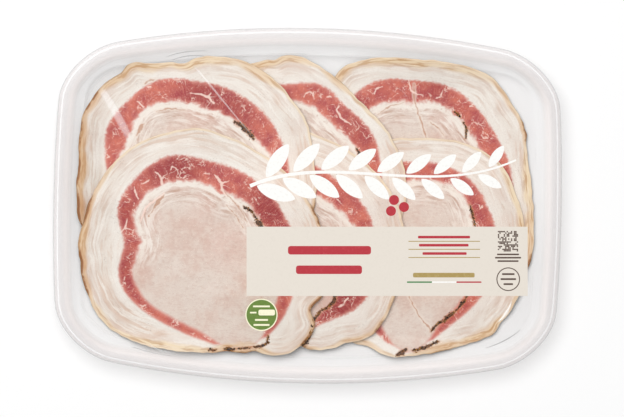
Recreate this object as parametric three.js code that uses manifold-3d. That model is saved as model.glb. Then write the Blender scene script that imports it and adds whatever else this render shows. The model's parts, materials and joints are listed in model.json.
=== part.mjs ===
// A sealed clear tray pack with six thin overlapping slices of porchetta under a lidding film.
// Millimetres, +Z up. The origin is the middle of the tray's underside; +X runs along the tray.
import * as THREE from "three";
import { mergeVertices } from "three/addons/utils/BufferGeometryUtils.js";
import Module from "manifold-3d";

const wasm = await Module();
wasm.setup();

// Driving dimensions of the tray
const LENGTH = 250;
const WIDTH = 175;
const HEIGHT = 15; // underside to the top of the flange
const SKIN = 0.6; // thickness of the plastic
const CORNER = 29; // corner radius before the sides bow
const SIDE_BOW = 0.16; // share of the width that the long sides lose at the tray's ends
const END_BOW = 0.025; // the same for the short sides
const FLANGE = 8; // width of the flat rim that the film is sealed to
const SLOPE = 4.4; // how far the wall leans in on its way down
const FOOT = 1.6; // run of the rounded edge between wall and floor
const LIP = 2.2; // how far the flange's edge turns down
const SHOULDER = 0.8; // rounding between the flange and that edge

// The film and what is printed on it
const FILM = 0.3; // thickness of the film
const FILM_INSET = 2; // the film stops short of the tray's edge
const CLEAR = 0.3; // gap that keeps touching pieces apart
const PRINT = 0.15; // thickness of a printed field
const PANEL = { x: 39.6, y: -26.5, length: 138, width: 34 };
const BADGE = { x: -21.6, y: -53.9, radius: 7.9 };
const ASKEW = THREE.MathUtils.degToRad(1.1); // how far the print and the slices sit turned in the tray

// The slices
const SLICE = 1.4; // thickness
const SEAM = 0.3; // gap between the layers of one slice
const CELL = 9; // mesh size of the common sheet that every slice is cut from
const FALL = 0.9; // the most that a slice drops over one cell where it leaves the edge of one below
const FALL_CELLS = 3; // how many cells such a drop may take
const THINNEST_FAT = 2; // a band ends, at the mouth of the roll, where it gets thinner than this
const THINNEST_LEAN = 1.3;
const TURN = 2 * Math.PI;
const OUTLINE_STEPS = 48; // corners of a slice's outline
const SEARCH_STEPS = 384; // how finely the ends of a band are looked for

// Six cuts of one roll, the lowest first. Each ring is given by its radius every 22.5 degrees, from
// +X, turned by ASKEW, towards +Y: rind is the slice's outline, lean is the outside of the lean meat
// and loin its inside. The three meet at the mouth, where the loin shows at the slice's edge.
const ROLL = [
  {
    name: "slice_1", // back right
    centre: [52.4, 18.6],
    rind: [55.8, 57.6, 59.6, 56.0, 54.0, 59.5, 58.0, 58.0, 59.0, 60.0, 60.0, 56.0, 54.0, 60.0, 75.0, 64.2],
    lean: [47.5, 43.9, 43.5, 44.8, 44.3, 48.0, 47.5, 45.0, 40.0, 44.0, 44.0, 43.0, 47.0, 60.0, 58.0, 52.0],
    loin: [40.0, 33.9, 33.6, 35.3, 33.2, 36.7, 37.5, 36.0, 33.0, 38.0, 40.0, 40.0, 45.0, 60.0, 53.0, 45.0],
  },
  {
    name: "slice_2", // front right
    centre: [49.7, -17.3],
    rind: [57.8, 58.0, 59.2, 54.2, 51.0, 53.0, 57.0, 58.5, 59.5, 60.0, 59.0, 54.0, 54.5, 54.6, 59.5, 60.3],
    lean: [44.5, 43.5, 44.0, 42.4, 40.0, 42.5, 46.0, 45.0, 39.0, 44.0, 44.0, 45.5, 54.5, 46.3, 44.2, 46.0],
    loin: [34.5, 34.3, 36.5, 33.5, 31.0, 33.5, 37.0, 36.0, 31.0, 38.0, 40.0, 41.5, 54.5, 43.2, 39.2, 37.0],
  },
  {
    name: "slice_3", // back middle
    centre: [-11.4, 18.3],
    rind: [58.5, 52.3, 48.6, 52.0, 54.2, 53.5, 57.0, 58.0, 59.0, 60.0, 60.0, 56.0, 53.0, 57.0, 64.0, 62.0],
    lean: [47.4, 46.6, 43.0, 45.0, 41.5, 45.0, 46.0, 45.0, 40.0, 44.0, 44.0, 43.0, 46.0, 57.0, 52.0, 49.0],
    loin: [41.0, 34.8, 32.0, 33.5, 34.0, 36.0, 37.0, 36.0, 33.0, 38.0, 40.0, 40.0, 44.0, 57.0, 48.0, 43.0],
  },
  {
    name: "slice_4", // front middle
    centre: [-10.2, -17.0],
    rind: [58.6, 56.5, 54.0, 53.0, 55.0, 57.0, 58.0, 58.5, 59.5, 60.0, 60.0, 55.0, 51.5, 57.0, 62.7, 59.0],
    lean: [44.5, 42.5, 39.0, 39.5, 41.0, 44.0, 46.0, 45.0, 39.0, 44.0, 44.0, 46.0, 51.5, 44.3, 48.5, 48.5],
    loin: [35.5, 32.0, 27.5, 28.5, 30.5, 33.5, 36.0, 36.0, 31.0, 38.0, 40.0, 43.0, 51.5, 41.3, 37.5, 38.0],
  },
  {
    name: "slice_5", // back left
    centre: [-55.1, 17.5],
    rind: [58.0, 58.0, 57.6, 57.2, 53.0, 55.5, 60.5, 61.5, 58.3, 62.0, 65.0, 59.0, 53.0, 57.0, 66.0, 62.0],
    lean: [45.0, 44.3, 42.7, 42.5, 43.0, 47.5, 47.6, 48.5, 43.5, 44.0, 44.0, 43.0, 46.0, 57.0, 52.0, 48.0],
    loin: [40.5, 33.5, 30.6, 30.0, 31.2, 36.0, 39.0, 36.7, 40.0, 38.0, 40.0, 40.0, 44.0, 57.0, 49.0, 43.0],
  },
  {
    name: "slice_6", // front left, on top
    centre: [-51.4, -19.3],
    rind: [60.0, 56.0, 53.0, 52.5, 56.0, 57.0, 58.5, 58.5, 60.0, 61.5, 60.5, 55.0, 52.5, 57.0, 70.0, 64.5],
    lean: [46.0, 42.5, 41.0, 40.0, 41.5, 46.5, 46.0, 45.5, 38.5, 44.5, 44.0, 43.5, 47.5, 57.0, 54.0, 50.0],
    loin: [36.0, 30.5, 30.0, 27.0, 30.0, 33.5, 36.5, 36.5, 30.5, 38.0, 40.5, 40.5, 45.0, 57.0, 50.0, 42.0],
  },
];

function material(color, roughness, extra = {}) {
  return new THREE.MeshStandardMaterial({ color, roughness, metalness: 0, ...extra });
}

const TRAY_PLASTIC = material(0xedebea, 0.25, { transparent: true, opacity: 0.5 });
const FILM_PLASTIC = material(0xffffff, 0.1, { transparent: true, opacity: 0.15 });
const FAT = material(0xe9d8ca, 0.5);
const LEAN = material(0xc36d6e, 0.5);
const LOIN = material(0xe3c8b8, 0.55);
const PANEL_INK = material(0xe8e1d5, 0.6);
const BADGE_INK = material(0x5c8f35, 0.5);

const pack = new THREE.Group();

function add(name, geometry, meshMaterial) {
  const mesh = new THREE.Mesh(geometry, meshMaterial);
  mesh.name = name;
  pack.add(mesh);
}

// The tray's outline, moved in by inset: a rounded rectangle whose long and short sides bow out.
const ARC_STEPS = 8;
const LONG_STEPS = 8;
const SHORT_STEPS = 4;

function outline(inset) {
  const halfLength = LENGTH / 2 - inset;
  const halfWidth = WIDTH / 2 - inset;
  const radius = CORNER - inset;
  const points = [];
  for (let quarter = 0; quarter < 4; quarter++) {
    const sideX = quarter === 0 || quarter === 3 ? 1 : -1;
    const sideY = quarter < 2 ? 1 : -1;
    const middle = new THREE.Vector2(sideX * (halfLength - radius), sideY * (halfWidth - radius));
    for (let i = 0; i <= ARC_STEPS; i++) {
      const angle = ((quarter + i / ARC_STEPS) * Math.PI) / 2;
      const spoke = new THREE.Vector2(Math.cos(angle), Math.sin(angle)).multiplyScalar(radius);
      points.push(spoke.add(middle));
    }
    const long = quarter % 2 === 0;
    const steps = long ? LONG_STEPS : SHORT_STEPS;
    const from = points.at(-1);
    const to = long
      ? new THREE.Vector2(-from.x, from.y)
      : new THREE.Vector2(from.x, -from.y);
    for (let i = 1; i < steps; i++) {
      points.push(from.clone().lerp(to, i / steps));
    }
  }
  return points.map(({ x, y }) => {
    const alongX = (2 * x) / LENGTH;
    const alongY = (2 * y) / WIDTH;
    return new THREE.Vector2(x * (1 - END_BOW * alongY ** 2), y * (1 - SIDE_BOW * alongX ** 2));
  });
}

// A closed body through rings of the outline. Each ring is [inset, z]; the first and last are closed
// by flat faces, so the rings run from one flat face out and round to the other.
function loft(rings) {
  const count = outline(0).length;
  const positions = [];
  const index = [];
  for (const [inset, z] of rings) {
    for (const { x, y } of outline(inset)) {
      positions.push(x, y, z);
    }
  }
  for (let ring = 0; ring + 1 < rings.length; ring++) {
    for (let i = 0; i < count; i++) {
      const a = ring * count + i;
      const b = ring * count + ((i + 1) % count);
      index.push(a, b, b + count, a, b + count, a + count);
    }
  }
  const lowest = positions.length / 3;
  positions.push(0, 0, rings[0][1], 0, 0, rings.at(-1)[1]);
  const lastRing = (rings.length - 1) * count;
  for (let i = 0; i < count; i++) {
    const next = (i + 1) % count;
    index.push(lowest, next, i, lowest + 1, lastRing + i, lastRing + next);
  }
  const geometry = new THREE.BufferGeometry();
  geometry.setAttribute("position", new THREE.Float32BufferAttribute(positions, 3));
  geometry.setIndex(index);
  return geometry;
}

// The tray's section as [inset, z], up the underside to the lip and back down the inside
const FOOT_INSET = FLANGE + SLOPE + FOOT;
const WALL_INSET = FLANGE + SLOPE;

const TRAY_UNDERSIDE = [
  [FOOT_INSET + 0.4, 0], // edge of the flat underside
  [FOOT_INSET - 0.9, 0.5],
  [WALL_INSET - 0.5, 1.9], // foot of the wall
  [FLANGE + 0.1, HEIGHT - 1.5], // top of the wall
  [FLANGE - 1, HEIGHT - SKIN], // under the flange
  [1.3, HEIGHT - SKIN],
  [SKIN, HEIGHT - 1.4],
  [SKIN, HEIGHT - LIP], // inside of the lip
];
const TRAY_INSIDE = [
  [0, HEIGHT - LIP], // outside of the lip
  [0, HEIGHT - 1],
  [SHOULDER, HEIGHT], // outer edge of the flange
  [FLANGE - 0.6, HEIGHT], // inner edge of the flange
  [FLANGE + 0.7, HEIGHT - 0.9],
  [WALL_INSET, SKIN + 1.4], // foot of the wall
  [FOOT_INSET - 0.8, SKIN + 0.4],
  [FOOT_INSET, SKIN], // edge of the floor
];

function makeTray() {
  add("tray", loft([...TRAY_UNDERSIDE, ...TRAY_INSIDE]), TRAY_PLASTIC);
}

function plate(shape, thickness, z) {
  const settings = { depth: thickness, bevelEnabled: false, curveSegments: 12 };
  return new THREE.ExtrudeGeometry(shape, settings).translate(0, 0, z);
}

function makeFilmAndPrint() {
  const filmBase = HEIGHT + CLEAR;
  add("lid_film", plate(new THREE.Shape(outline(FILM_INSET)), FILM, filmBase), FILM_PLASTIC);
  const printBase = filmBase + FILM + CLEAR;
  const panel = new THREE.BoxGeometry(PANEL.length, PANEL.width, PRINT).rotateZ(ASKEW);
  add("label_panel", panel.translate(PANEL.x, PANEL.y, printBase + PRINT / 2), PANEL_INK);
  const disc = new THREE.Shape().absarc(BADGE.x, BADGE.y, BADGE.radius, 0, TURN);
  add("round_badge", plate(disc, PRINT, printBase), BADGE_INK);
}

// A ring's radius at any angle, on a smooth curve through its stated radii
function radiusAt(radii, angle) {
  const step = (((angle / TURN) % 1) + 1) * radii.length;
  const i = Math.floor(step);
  const t = step - i;
  const [p, q, r, s] = [-1, 0, 1, 2].map((k) => radii[(i + k) % radii.length]);
  return q + 0.5 * t * (r - p + t * (2 * p - 5 * q + 4 * r - s + t * (3 * (q - r) + s - p)));
}

function pointAt(slice, radius, angle) {
  const turned = angle + ASKEW;
  return new THREE.Vector2(
    slice.centre[0] + radius * Math.cos(turned),
    slice.centre[1] + radius * Math.sin(turned),
  );
}

// The angle where all three rings meet
function mouthOf(slice) {
  const width = slice.rind.map((radius, i) => radius - slice.loin[i]);
  return (width.indexOf(Math.min(...width)) / slice.rind.length) * TURN;
}

// A band between two rings, from one side of the mouth round to the other
function bandShape(slice, inner, outer, thinnest) {
  const mouth = mouthOf(slice);
  const thick = [];
  for (let i = 0; i <= SEARCH_STEPS; i++) {
    const angle = mouth + (i / SEARCH_STEPS) * TURN;
    if (radiusAt(slice[outer], angle) - radiusAt(slice[inner], angle) > thinnest) {
      thick.push(angle);
    }
  }
  const first = thick[0];
  const sweep = thick.at(-1) - first;
  const steps = Math.ceil((sweep / TURN) * OUTLINE_STEPS);
  const outerGap = outer === "rind" ? 0 : SEAM / 2;
  const out = [];
  const back = [];
  for (let i = 0; i <= steps; i++) {
    const angle = first + (sweep * i) / steps;
    out.push(pointAt(slice, radiusAt(slice[outer], angle) - outerGap, angle));
    back.unshift(pointAt(slice, radiusAt(slice[inner], angle) + SEAM / 2, angle));
  }
  return new THREE.Shape([...out, ...back]);
}

function loinShape(slice) {
  const points = [];
  for (let i = 0; i < OUTLINE_STEPS; i++) {
    const angle = (i / OUTLINE_STEPS) * TURN;
    points.push(pointAt(slice, radiusAt(slice.loin, angle) - SEAM / 2, angle));
  }
  return new THREE.Shape(points);
}

function toManifold(geometry) {
  const bare = geometry.clone();
  bare.deleteAttribute("normal");
  bare.deleteAttribute("uv");
  const merged = mergeVertices(bare);
  return new wasm.Manifold(
    new wasm.Mesh({
      numProp: 3,
      vertProperties: new Float32Array(merged.attributes.position.array),
      triVerts: new Uint32Array(merged.index.array),
    }),
  );
}

function toGeometry(manifold) {
  const mesh = manifold.getMesh();
  const geometry = new THREE.BufferGeometry();
  geometry.setAttribute("position", new THREE.Float32BufferAttribute(mesh.vertProperties, mesh.numProp));
  geometry.setIndex(new THREE.Uint32BufferAttribute(mesh.triVerts, 1));
  return geometry;
}

// The sheet that slices are cut from: a square mesh over the tray, the same for all slices, so that
// a slice laid over others clears them wherever it clears them at the mesh's own points.
const COLUMNS = Math.ceil(LENGTH / CELL);
const ROWS = Math.ceil(WIDTH / CELL);
const ACROSS = COLUMNS + 1;
const meshPoints = [];
for (let row = 0; row <= ROWS; row++) {
  for (let column = 0; column <= COLUMNS; column++) {
    meshPoints.push({ row, column, x: (column - COLUMNS / 2) * CELL, y: (row - ROWS / 2) * CELL });
  }
}
const pile = meshPoints.map(() => SKIN); // height of what already lies at each point

// Whether a slice reaches into one of the four cells round a point of the mesh. Those are tried at
// every half cell, with as much slack as the farthest place between two trials needs.
function reaches(slice, { x, y }) {
  const samples = [-1, -0.5, 0, 0.5, 1];
  const slack = CELL * Math.hypot(0.25, 0.25);
  return samples.some((i) =>
    samples.some((j) => {
      const dx = x + i * CELL - slice.centre[0];
      const dy = y + j * CELL - slice.centre[1];
      return Math.hypot(dx, dy) < radiusAt(slice.rind, Math.atan2(dy, dx) - ASKEW) + slack;
    }),
  );
}

// The points next to one of the mesh's points
function neighbours({ row, column }) {
  const steps = [[-1, 0], [1, 0], [0, -1], [0, 1]];
  return steps
    .map(([up, along]) => [row + up, column + along])
    .filter(([r, c]) => r >= 0 && r <= ROWS && c >= 0 && c <= COLUMNS)
    .map(([r, c]) => r * ACROSS + c);
}

// Lays a slice on the pile and gives its underside's height at each point of the mesh. It falls away
// from the edges below it no faster than FALL.
function lay(slice) {
  const covered = meshPoints.map((point) => reaches(slice, point));
  const base = pile.map((height) => height + CLEAR);
  for (let pass = 0; pass < FALL_CELLS; pass++) {
    const before = [...base];
    meshPoints.forEach((point, i) => {
      const held = neighbours(point).filter((k) => covered[k]);
      base[i] = Math.max(base[i], ...held.map((k) => before[k] - FALL));
    });
  }
  covered.forEach((here, i) => {
    if (here) {
      pile[i] = base[i] + SLICE;
    }
  });
  return base;
}

// The whole sheet, with its underside at the heights in base
function sheet(base) {
  const count = meshPoints.length;
  const positions = [];
  for (const lift of [0, SLICE]) {
    meshPoints.forEach(({ x, y }, i) => positions.push(x, y, base[i] + lift));
  }
  const index = [];
  for (let row = 0; row < ROWS; row++) {
    for (let column = 0; column < COLUMNS; column++) {
      const a = row * ACROSS + column;
      const [b, c, d] = [a + 1, a + ACROSS + 1, a + ACROSS];
      index.push(a, c, b, a, d, c);
      index.push(a + count, b + count, c + count, a + count, c + count, d + count);
    }
  }
  const rim = [
    ...Array.from({ length: COLUMNS }, (_, i) => i),
    ...Array.from({ length: ROWS }, (_, i) => i * ACROSS + COLUMNS),
    ...Array.from({ length: COLUMNS }, (_, i) => ROWS * ACROSS + COLUMNS - i),
    ...Array.from({ length: ROWS }, (_, i) => (ROWS - i) * ACROSS),
  ];
  rim.forEach((a, i) => {
    const b = rim[(i + 1) % rim.length];
    index.push(a, b, b + count, a, b + count, a + count);
  });
  const geometry = new THREE.BufferGeometry();
  geometry.setAttribute("position", new THREE.Float32BufferAttribute(positions, 3));
  geometry.setIndex(index);
  return toManifold(geometry);
}

// The room inside the tray, from its floor up to the flange, a gap short of its wall
function cavity() {
  const inside = TRAY_INSIDE.filter(([inset]) => inset > SHOULDER).reverse();
  return toManifold(loft(inside.map(([inset, z]) => [inset + CLEAR, z])));
}

function makeSlices() {
  const room = cavity();
  for (const slice of ROLL) {
    const laid = sheet(lay(slice)).intersect(room);
    const layers = [
      ["fat", bandShape(slice, "lean", "rind", THINNEST_FAT), FAT],
      ["lean", bandShape(slice, "loin", "lean", THINNEST_LEAN), LEAN],
      ["loin", loinShape(slice), LOIN],
    ];
    for (const [layer, shape, layerMaterial] of layers) {
      const cut = laid.intersect(toManifold(plate(shape, HEIGHT, 0)));
      add(`${slice.name}_${layer}`, toGeometry(cut), layerMaterial);
    }
  }
}

makeTray();
makeSlices();
makeFilmAndPrint();

export default pack;
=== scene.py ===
# %% [markdown]
# # A tray pack of sliced porchetta
#
# The real thing is a shallow clear tray with six thin, overlapping slices of a rolled pork roast,
# closed by a clear film that carries a beige panel and a round green badge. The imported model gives
# every size and place. This script dresses it: it loads that model as a fixed frame, keeps what is
# already right, and replaces the rest with finer pieces of the same form.

# %% Load the frame
import json
import math

import bpy
import numpy as np
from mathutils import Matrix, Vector, noise
from mathutils.bvhtree import BVHTree
from mathutils.geometry import convex_hull_2d

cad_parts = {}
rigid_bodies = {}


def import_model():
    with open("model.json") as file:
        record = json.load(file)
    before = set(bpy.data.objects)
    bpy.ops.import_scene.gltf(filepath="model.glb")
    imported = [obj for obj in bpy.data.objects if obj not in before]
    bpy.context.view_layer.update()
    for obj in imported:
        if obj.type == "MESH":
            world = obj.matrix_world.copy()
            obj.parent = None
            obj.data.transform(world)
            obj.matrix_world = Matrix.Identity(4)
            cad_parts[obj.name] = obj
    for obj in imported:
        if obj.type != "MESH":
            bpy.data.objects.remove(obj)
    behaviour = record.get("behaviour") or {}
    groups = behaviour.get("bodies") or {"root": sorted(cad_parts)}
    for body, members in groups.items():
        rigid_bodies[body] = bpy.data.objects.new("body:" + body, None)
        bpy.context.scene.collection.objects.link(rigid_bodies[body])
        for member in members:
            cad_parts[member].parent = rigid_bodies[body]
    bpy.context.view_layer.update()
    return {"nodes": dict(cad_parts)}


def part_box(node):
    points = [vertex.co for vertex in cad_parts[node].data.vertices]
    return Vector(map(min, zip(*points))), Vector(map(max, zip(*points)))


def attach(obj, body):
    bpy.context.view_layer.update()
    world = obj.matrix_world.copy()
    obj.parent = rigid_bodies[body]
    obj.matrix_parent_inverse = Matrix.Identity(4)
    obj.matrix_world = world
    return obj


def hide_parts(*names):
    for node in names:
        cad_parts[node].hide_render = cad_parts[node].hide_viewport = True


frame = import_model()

MM = 0.001
nodes = frame["nodes"]
print("nodes in the frame:", len(nodes))

# %% [markdown]
# ## From the photograph to the pack
#
# The photograph looks straight down. It was measured once: one pixel covers 0.491 mm at the tray's
# rim, the tray's middle lies at one known pixel, and the pack is turned by about one degree. With
# these, any place seen in the picture becomes a place on the pack, and the camera can stand where
# the photographer's did.

# %% Measure of the photograph
PIXEL = 0.491 * MM
MIDDLE = (307.5, 205.8)  # pixel of the tray's middle
PICTURE = (624, 417)
TURN = math.radians(1.1)  # the pack's turn in the picture, clockwise
_, tray_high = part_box("tray")
RIM = tray_high.z


def in_picture(px, py):
    """A pixel's place in metres from the tray's middle, along the picture's own sides."""
    return (px - MIDDLE[0]) * PIXEL, (MIDDLE[1] - py) * PIXEL


def on_pack(px, py):
    """A pixel's place on the pack, in metres."""
    x, y = in_picture(px, py)
    return (
        x * math.cos(TURN) - y * math.sin(TURN),
        x * math.sin(TURN) + y * math.cos(TURN),
    )


picture_middle = on_pack(PICTURE[0] / 2, PICTURE[1] / 2)
print("the picture's middle lies on the pack at", [round(v, 4) for v in picture_middle])

# %% [markdown]
# ## Camera, floor and light
#
# A very long lens from high above shows the tray's walls as narrow as they look in the photograph. The
# floor is a large pale plane. One big soft lamp hangs high above, a little to the left and behind,
# so that the pack throws a short soft shadow to the right and to the front, and a pale sky fills
# the rest.

# %% Camera
DISTANCE = 5.0  # metres from the lens to the rim
SENSOR = 36  # millimetres
FARTHEST = 20  # metres
bpy.ops.object.camera_add()
camera = bpy.context.object
camera.location = (*picture_middle, RIM + DISTANCE)
camera.rotation_euler = (0, 0, TURN)
camera.data.sensor_width = SENSOR
camera.data.lens = SENSOR * DISTANCE / (PICTURE[0] * PIXEL)
camera.data.clip_end = FARTHEST
bpy.context.scene.camera = camera
bpy.context.scene.view_settings.view_transform = "Standard"
print("lens:", round(camera.data.lens), "mm")

# %% Floor
FLOOR_SIZE = 8
FLOOR_WHITE = 0.9
bpy.ops.mesh.primitive_plane_add(size=FLOOR_SIZE, location=(0, 0, 0))
floor = bpy.context.object
floor.name = "floor"
floor_paint = bpy.data.materials.new("floor_paint")
floor_paint.use_nodes = True
floor_shader = floor_paint.node_tree.nodes["Principled BSDF"]
floor_shader.inputs["Base Color"].default_value = (FLOOR_WHITE, FLOOR_WHITE, FLOOR_WHITE, 1)
floor_shader.inputs["Roughness"].default_value = 0.9
floor.data.materials.append(floor_paint)
print("floor:", FLOOR_SIZE, "m wide")

# %% Light
LAMP = Vector((-0.46, 0.76, 2.84))
LAMP_SIZE = 2.2
LAMP_POWER = 74
SKY_STRENGTH = 0.405
bpy.ops.object.light_add(type="AREA", location=LAMP)
key = bpy.context.object
key.name = "key_light"
key.data.shape = "DISK"
key.data.size = LAMP_SIZE
key.data.energy = LAMP_POWER
key.rotation_euler = (-LAMP).to_track_quat("-Z", "Y").to_euler()

sky = bpy.data.worlds.new("sky")
bpy.context.scene.world = sky
sky.use_nodes = True
sky.node_tree.nodes["Background"].inputs["Color"].default_value = (1, 1, 1, 1)
sky.node_tree.nodes["Background"].inputs["Strength"].default_value = SKY_STRENGTH

# %% [markdown]
# ## Helpers for shapes
#
# An operator acts on everything that is selected, so each step first selects just what it needs.
# A finished piece has its place in its mesh, rides on the pack's one body, and takes the place of
# the nodes that it replaces, which are hidden.

# %% Selecting and shaping
def only(*chosen):
    """Selects these objects and nothing else; the first one becomes the active one."""
    bpy.ops.object.select_all(action="DESELECT")
    for thing in chosen:
        thing.select_set(True)
    bpy.context.view_layer.objects.active = chosen[0]


def in_edit_mode(thing, *steps):
    """Runs each step in edit mode on the whole of one object."""
    only(thing)
    bpy.ops.object.mode_set(mode="EDIT")
    bpy.ops.mesh.select_all(action="SELECT")
    for step in steps:
        step()
    bpy.ops.object.mode_set(mode="OBJECT")


def merge_doubles():
    bpy.ops.mesh.remove_doubles(threshold=0.002 * MM)


def apply_modifier(thing, kind, **settings):
    """Adds one modifier, sets it up and applies it."""
    only(thing)
    modifier = thing.modifiers.new(kind.lower(), kind)
    for name, value in settings.items():
        setattr(modifier, name, value)
    bpy.ops.object.modifier_apply(modifier=modifier.name)


def apply_place(thing):
    """Moves an object's own place, turn and scale into its mesh."""
    only(thing)
    bpy.ops.object.transform_apply(location=True, rotation=True, scale=True)


# %% Finishing
def finish_piece(piece, name, paint, replaced=()):
    """Names a piece, gives it its paint, hangs it on the pack's body and hides the nodes it replaces.
    """
    piece.name = name
    piece.data.name = name
    piece.data.materials.clear()
    piece.data.materials.append(paint)
    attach(piece, "root")
    if replaced:
        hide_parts(*replaced)
    print(f"{name}: {len(piece.data.polygons)} faces")


def paint_node(name, paint):
    """Gives a node that keeps its own shape its paint."""
    nodes[name].data.materials.clear()
    nodes[name].data.materials.append(paint)
    print(f"{name}: painted with {paint.name}")


# %% [markdown]
# ## Helpers for materials
#
# Every material here is a small tree of nodes. These helpers add one node each and hand back its
# output, so that a recipe reads from top to bottom: a pattern, a threshold, a mix of two colours.
# Object coordinates are in metres, so a pattern's size is given in millimetres and turned round.

# %% Colours
def tone(code):
    """A colour written as six hex digits, as Blender's linear numbers."""
    channels = [int(code[i : i + 2], 16) / 255 for i in (0, 2, 4)]
    return (*[c / 12.92 if c < 0.04045 else ((c + 0.055) / 1.055) ** 2.4 for c in channels], 1)


print("white in linear numbers:", tone("ffffff"))


# %% Nodes in short
class Recipe:
    """A material and short ways to add nodes to it."""

    def __init__(self, name):
        self.material = bpy.data.materials.new(name)
        self.material.use_nodes = True
        self.tree = self.material.node_tree
        self.shader = self.tree.nodes["Principled BSDF"]
        self.place = self.node("ShaderNodeTexCoord").outputs["Object"]

    def feed(self, socket, value):
        """Links a node's output to a socket, or sets the socket to a plain value."""
        if isinstance(value, bpy.types.NodeSocket):
            self.tree.links.new(value, socket)
        else:
            socket.default_value = value

    def node(self, kind, inputs=None, **settings):
        """Adds a node, sets it up and feeds its sockets."""
        made = self.tree.nodes.new(kind)
        for name, value in settings.items():
            setattr(made, name, value)
        for socket, value in (inputs or {}).items():
            self.feed(made.inputs[socket], value)
        return made

    def math(self, operation, a, b=0.0):
        return self.node("ShaderNodeMath", {0: a, 1: b}, operation=operation).outputs[0]

    def plus(self, a, b):
        return self.math("ADD", a, b)

    def minus(self, a, b):
        return self.math("SUBTRACT", a, b)

    def times(self, a, b):
        return self.math("MULTIPLY", a, b)

    def total(self, *parts, start=0.0):
        """Adds patterns up, each at its share."""
        for pattern, share in parts:
            start = self.plus(start, self.times(pattern, share))
        return start

    def step(self, value, low, high):
        """0 below low and 1 above high, with a smooth rise between. With high first it falls."""
        inputs = {"Value": value, "From Min": low, "From Max": high}
        made = self.node("ShaderNodeMapRange", inputs, interpolation_type="SMOOTHSTEP")
        return made.outputs["Result"]

    def vector(self, operation, a, b):
        return self.node("ShaderNodeVectorMath", {0: a, 1: b}, operation=operation).outputs[0]

    def attribute(self, name):
        return self.node("ShaderNodeAttribute", attribute_name=name)

    def clouds(self, size, vector=None, detail=2.0, roughness=0.5, shift=0.0, twist=0.0):
        """Soft noise whose patches are about size millimetres across."""
        where = self.place if vector is None else vector
        if shift:
            where = self.vector("ADD", where, (shift, shift, shift))
        inputs = {"Vector": where, "Scale": 1 / (size * MM), "Detail": detail}
        inputs |= {"Roughness": roughness, "Distortion": twist}
        return self.node("ShaderNodeTexNoise", inputs).outputs["Fac"]

    def threads(self, size, width, **settings):
        """Thin winding lines, along which soft noise passes through its middle value."""
        off_middle = self.minus(self.clouds(size, **settings), 0.5)
        return self.step(self.math("ABSOLUTE", off_middle), width, width * 0.3)

    def cells(self, size, output="Distance"):
        """Cells of about size millimetres."""
        inputs = {"Vector": self.place, "Scale": 1 / (size * MM)}
        return self.node("ShaderNodeTexVoronoi", inputs).outputs[output]

    def mix(self, share, a, b):
        """Colour a, turning to colour b as share goes from 0 to 1."""
        return self.node("ShaderNodeMix", {0: share, 6: a, 7: b}, data_type="RGBA").outputs[2]

    def two_tone(self, pattern, low, high, first, second):
        """A colour that turns to another as a pattern passes from low to high."""
        return self.mix(self.step(pattern, low, high), tone(first), tone(second))

    def lay(self, under, *coats):
        """Lays coats over a colour: where each shows, how much it covers there, and its colour."""
        for shown, cover, code in coats:
            under = self.mix(self.times(shown, cover), under, tone(code))
        return under

    def set(self, **inputs):
        """Sets the shader's sockets, named with _ for a space."""
        for name, value in inputs.items():
            self.feed(self.shader.inputs[name.replace("_", " ")], value)

    def bump(self, height, depth, strength=1.0):
        """Relief whose full height is depth millimetres."""
        inputs = {"Height": height, "Distance": depth * MM, "Strength": strength}
        self.set(Normal=self.node("ShaderNodeBump", inputs).outputs["Normal"])

    def see_through(self, solid_share):
        """Lets light straight through, but for solid_share of it."""
        clear = self.node("ShaderNodeBsdfTransparent")
        blend = self.node("ShaderNodeMixShader", {0: solid_share, 1: clear.outputs[0]})
        self.tree.links.new(self.shader.outputs[0], blend.inputs[2])
        surface = self.tree.nodes["Material Output"].inputs["Surface"]
        self.tree.links.new(blend.outputs[0], surface)

    def tally(self, step):
        print(f"{step}: {self.material.name} has {len(self.tree.nodes)} nodes so far")


# %% [markdown]
# ## The tray
#
# A tray like this is formed from one warm sheet, so every edge is round. The node has the right
# section, but its corners are cut into flats. A copy with its triangles joined up and paired into
# quads can be smoothed by a subdivision surface, which rounds each edge as the mould does.

# %% Tray shape
only(nodes["tray"])
bpy.ops.object.duplicate()
tray = bpy.context.object
for mark in list(tray.keys()):
    del tray[mark]
bpy.ops.object.parent_clear(type="CLEAR_KEEP_TRANSFORM")
in_edit_mode(tray, merge_doubles, bpy.ops.mesh.tris_convert_to_quads)
apply_modifier(tray, "SUBSURF", levels=2, render_levels=2)
only(tray)
bpy.ops.object.shade_smooth()
print("tray:", [round(v * 1000, 1) for v in tray.dimensions], "mm")

# %% [markdown]
# The plastic is clear, but light gathers in its folds. That light is painted into its colour: a
# painted grey shade line at the cut edge, a painted bright highlight where the film's seal begins,
# and faint painted highlights and shade where the wall starts and ends. All of them follow the
# outline, so each vertex keeps its distance from the tray's edge as an attribute named `inward`.

# %% Distance from the tray's edge
def gap_to(points, line):
    """How far each point is from a line of straight pieces, in millimetres."""
    best = np.full(len(points), np.inf)
    for start, end in zip(line[:-1], line[1:]):
        way = end - start
        t = np.clip(((points - start) @ way) / max(way @ way, 1e-12), 0, 1)
        gap = points - start - t[:, None] * way
        best = np.minimum(best, np.einsum("ij,ij->i", gap, gap))
    return np.sqrt(best) / MM


def put_attribute(mesh, name, kind, values):
    """Keeps one number or vector for each vertex on the mesh."""
    made = mesh.attributes.new(name, kind, "POINT")
    field = "vector" if kind == "FLOAT_VECTOR" else "value"
    made.data.foreach_set(field, np.asarray(values, np.float32).ravel())


tray_points = np.array([v.co[:2] for v in tray.data.vertices])
hull = tray_points[convex_hull_2d([Vector(point) for point in tray_points])]
inward = gap_to(tray_points, np.vstack([hull, hull[:1]]))
put_attribute(tray.data, "inward", "FLOAT", inward)
print("the tray's floor lies up to", round(float(inward.max())), "mm from its edge")
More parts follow.
